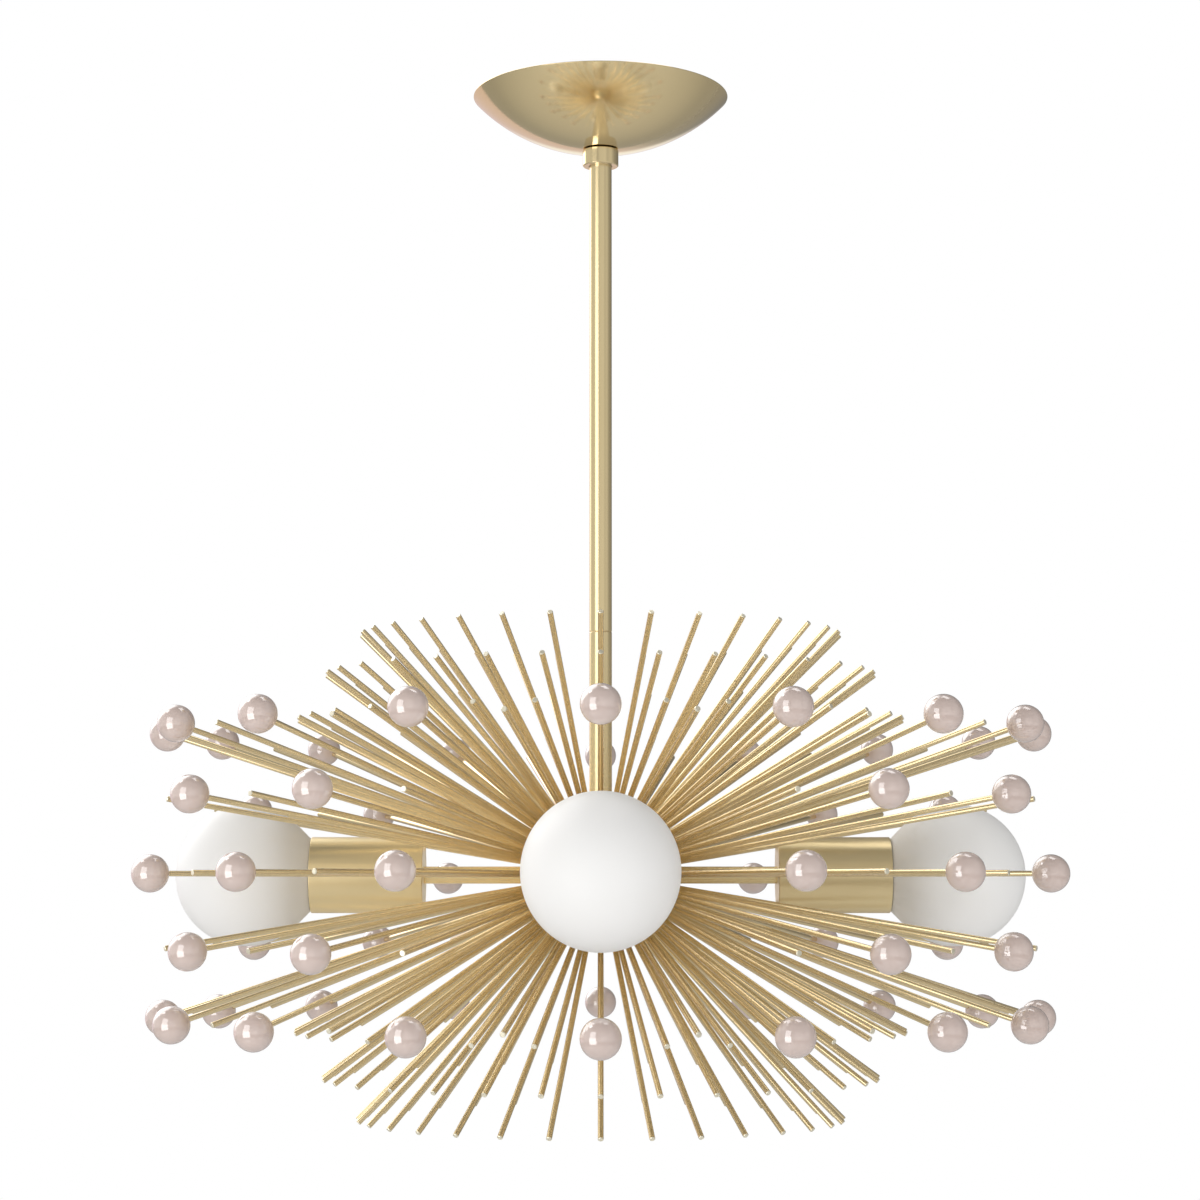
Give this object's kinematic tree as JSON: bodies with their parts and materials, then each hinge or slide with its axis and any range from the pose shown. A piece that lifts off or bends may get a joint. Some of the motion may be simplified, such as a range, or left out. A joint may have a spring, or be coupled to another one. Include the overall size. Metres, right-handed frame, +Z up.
{
  "type": "beaded chandelier",
  "caption": "Starburst chandelier: thin rods round a drilled ball, glazed beads on the long rods, opal globe lamps in cup sockets, stem with slip collar, swivel and domed canopy.",
  "frame": {"origin": "on the ceiling plane, over the middle of the stem and between the two slots of the ceiling bar", "axes": "+Z up, out of the ceiling side and along the stem; -Y is the front, and the four lamps point along -Y, +X, +Y and -X"},
  "size_m": [0.505, 0.505, 0.5794],
  "materials": {
    "satin_brass": "satin",
    "plain_brass": "plain",
    "bead_glaze": "gloss",
    "opal_glass": "matte",
    "lamp_cap": "plain",
    "socket_ceramic": "matte",
    "socket_metal": "plain",
    "zinc_steel": "zinc plated",
    "ground_green": "green plated"
  },
  "bodies": {
    "bar": {"ceiling_bar": "zinc_steel", "ground_screw": "ground_green", "hanger_bolt": "zinc_steel", "hanger_nut": "zinc_steel"},
    "swivel": {"swivel_housing": "plain_brass", "swivel_cap": "plain_brass"},
    "fixture": {"arm_nuts": "satin_brass", "back_arm": "satin_brass", "back_contact": "socket_metal", "back_cup": "satin_brass", "back_insulator": "socket_ceramic", "back_screw_shell": "socket_metal", "beads_high_1": "bead_glaze", "beads_high_2": "bead_glaze", "beads_level": "bead_glaze", "beads_low_1": "bead_glaze", "beads_low_2": "bead_glaze", "front_arm": "satin_brass", "front_contact": "socket_metal", "front_cup": "satin_brass", "front_insulator": "socket_ceramic", "front_screw_shell": "socket_metal", "hub_ball": "satin_brass", "hub_plug": "satin_brass", "left_arm": "satin_brass", "left_contact": "socket_metal", "left_cup": "satin_brass", "left_insulator": "socket_ceramic", "left_screw_shell": "socket_metal", "lower_stem": "satin_brass", "right_arm": "satin_brass", "right_contact": "socket_metal", "right_cup": "satin_brass", "right_insulator": "socket_ceramic", "right_screw_shell": "socket_metal", "rods_high_1": "satin_brass", "rods_high_2": "satin_brass", "rods_high_3": "satin_brass", "rods_high_4": "satin_brass", "rods_high_5": "satin_brass", "rods_level": "satin_brass", "rods_low_1": "satin_brass", "rods_low_2": "satin_brass", "rods_low_3": "satin_brass", "rods_low_4": "satin_brass", "rods_low_5": "satin_brass", "stem_coupling": "plain_brass", "swivel_ball": "plain_brass", "upper_stem": "satin_brass"},
    "canopy": {"canopy": "satin_brass"},
    "collar": {"collar": "satin_brass", "collar_screw": "plain_brass"},
    "front_lamp": {"front_globe": "opal_glass", "front_lamp_cap": "lamp_cap"},
    "right_lamp": {"right_globe": "opal_glass", "right_lamp_cap": "lamp_cap"},
    "back_lamp": {"back_globe": "opal_glass", "back_lamp_cap": "lamp_cap"},
    "left_lamp": {"left_globe": "opal_glass", "left_lamp_cap": "lamp_cap"}
  },
  "joints": [
    {"name": "swivel_turn", "type": "hinge", "parent": "bar", "child": "swivel", "pos_m": [0, 0, -0.0186], "axis": [0, 0, 1], "range_deg": [-165, 165]},
    {"name": "swivel_tilt", "type": "hinge", "parent": "swivel", "child": "fixture", "pos_m": [0, 0, -0.0186], "axis": [1, 0, 0], "range_deg": [-5, 5]},
    {"name": "canopy_slide", "type": "slide", "parent": "fixture", "child": "canopy", "axis": [0, 0, -1], "range_m": [0, 0.2]},
    {"name": "collar_slide", "type": "slide", "parent": "fixture", "child": "collar", "axis": [0, 0, -1], "range_m": [0, 0.2]},
    {"name": "front_lamp_unscrew", "type": "slide", "parent": "fixture", "child": "front_lamp", "axis": [0, -1, 0], "range_m": [0, 0.04]},
    {"name": "right_lamp_unscrew", "type": "slide", "parent": "fixture", "child": "right_lamp", "axis": [1, 0, 0], "range_m": [0, 0.04]},
    {"name": "back_lamp_unscrew", "type": "slide", "parent": "fixture", "child": "back_lamp", "axis": [0, 1, 0], "range_m": [0, 0.04]},
    {"name": "left_lamp_unscrew", "type": "slide", "parent": "fixture", "child": "left_lamp", "axis": [-1, 0, 0], "range_m": [0, 0.04]}
  ],
  "couplings": [
    {"joint": "collar_slide", "follows": "canopy_slide", "ratio": 1}
  ]
}
